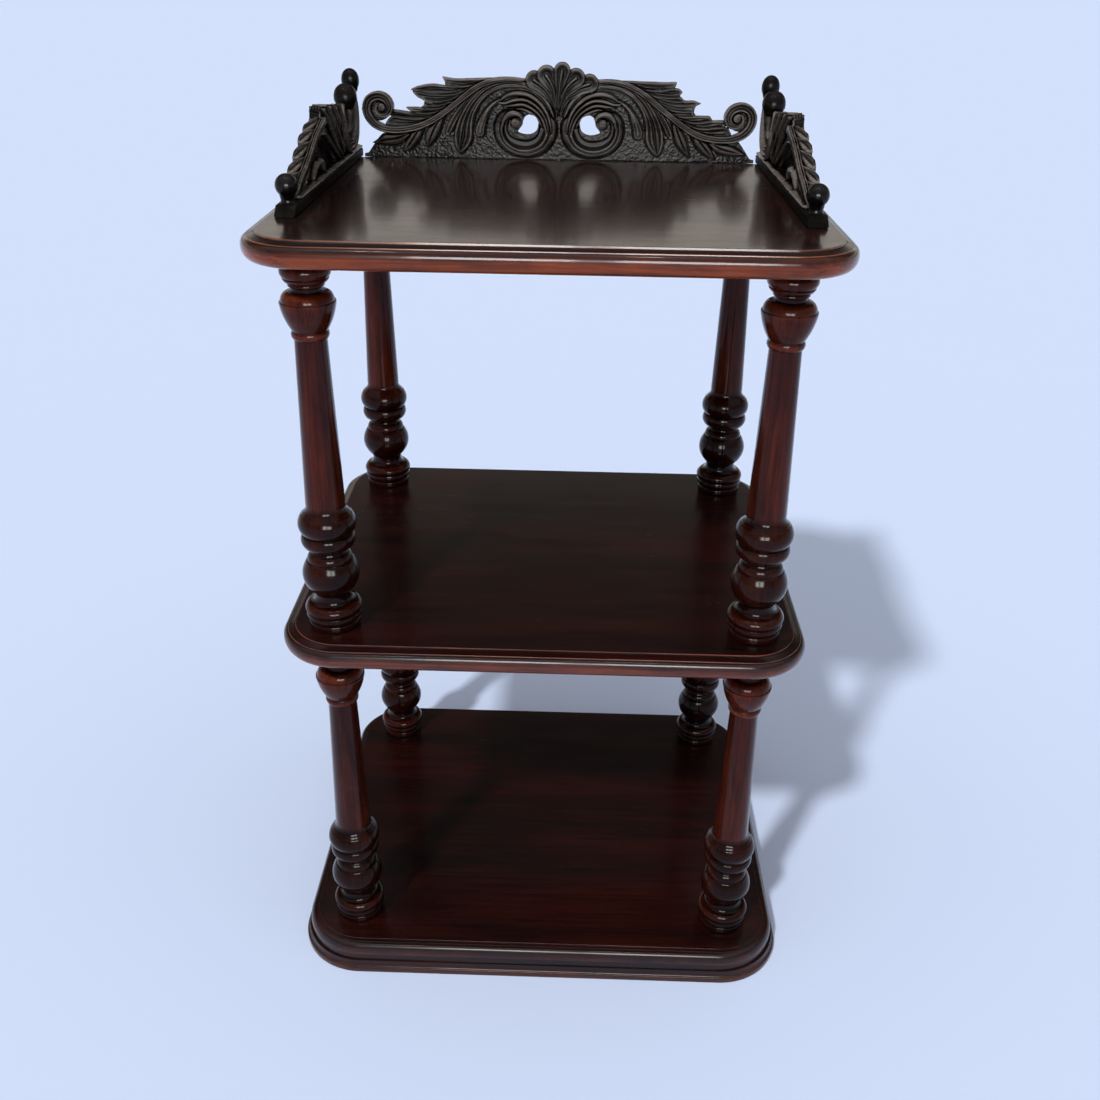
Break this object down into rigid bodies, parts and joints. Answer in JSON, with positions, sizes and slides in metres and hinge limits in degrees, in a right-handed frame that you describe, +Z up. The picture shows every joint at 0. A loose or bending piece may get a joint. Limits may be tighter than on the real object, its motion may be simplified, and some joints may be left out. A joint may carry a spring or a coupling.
{
  "type": "shelf table",
  "caption": "Tiered shelf table with moulded, round-cornered shelves on turned posts and a carved scroll-and-leaf gallery round the back and sides of its top.",
  "frame": {"origin": "middle of the footprint, on the floor", "axes": "+Z up; the front faces -Y and the carved gallery stands along the back edge at +Y; +X to the right seen from the front"},
  "size_m": [0.522, 0.448, 0.8753],
  "materials": {
    "shelf": "French-polished dark mahogany, high gloss",
    "edge": "French-polished red mahogany moulding, high gloss",
    "post": "French-polished turned mahogany, high gloss",
    "carving": "waxed, darkened carved mahogany, satin",
    "dowel": "plain birch, matt"
  },
  "bodies": {
    "root": {"base_board": "shelf", "middle_shelf": "shelf", "top_shelf": "shelf", "plinth_front": "edge", "plinth_right": "edge", "plinth_back": "edge", "plinth_left": "edge", "lower_post_front_left": "post", "lower_post_front_right": "post", "lower_post_back_left": "post", "lower_post_back_right": "post", "upper_post_front_left": "post", "upper_post_front_right": "post", "upper_post_back_left": "post", "upper_post_back_right": "post", "back_gallery": "carving", "side_gallery_left": "carving", "side_gallery_right": "carving", "gallery_rail_left": "carving", "gallery_rail_right": "carving", "finial_left": "post", "finial_right": "post", "back_dowel_left": "dowel", "back_dowel_middle": "dowel", "back_dowel_right": "dowel", "side_dowel_left_front": "dowel", "side_dowel_left_rear": "dowel", "side_dowel_right_front": "dowel", "side_dowel_right_rear": "dowel"}
  },
  "joints": []
}
